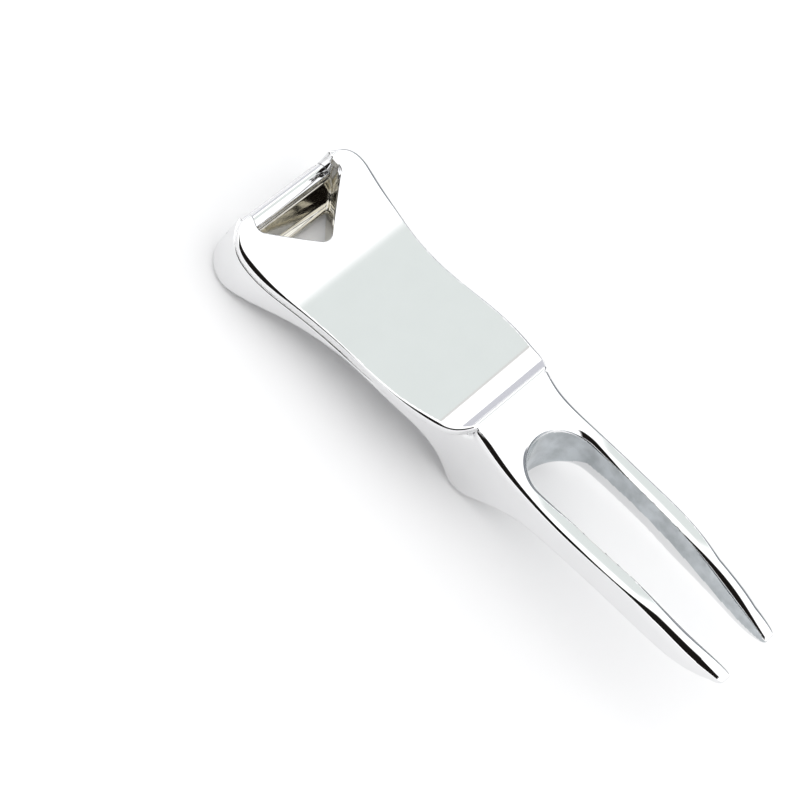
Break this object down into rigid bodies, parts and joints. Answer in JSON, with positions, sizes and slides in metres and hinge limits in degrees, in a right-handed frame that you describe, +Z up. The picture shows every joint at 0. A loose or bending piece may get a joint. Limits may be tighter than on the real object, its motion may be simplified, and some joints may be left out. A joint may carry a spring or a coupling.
{
  "type": "divot repair tool",
  "caption": "Slim golf divot repair tool: two tapering prongs, a humped neck, a dished thumb plate and a notched crown-cap opener with a cross bar at the other end.",
  "frame": {"origin": "on the resting surface, under the middle of the tool's length and width", "axes": "+X along the tool towards the prong tips, +Z up out of the thumb plate, Y across"},
  "size_m": [0.085, 0.025, 0.0139],
  "materials": {
    "fork_body": "bright chrome plate over a polished zinc casting",
    "thumb_plate": "bright chrome plate, mirror polished",
    "opener_bar": "bright chrome plate over steel"
  },
  "bodies": {
    "root": {"fork_body": "fork_body", "thumb_plate": "thumb_plate", "opener_bar": "opener_bar"}
  },
  "joints": []
}
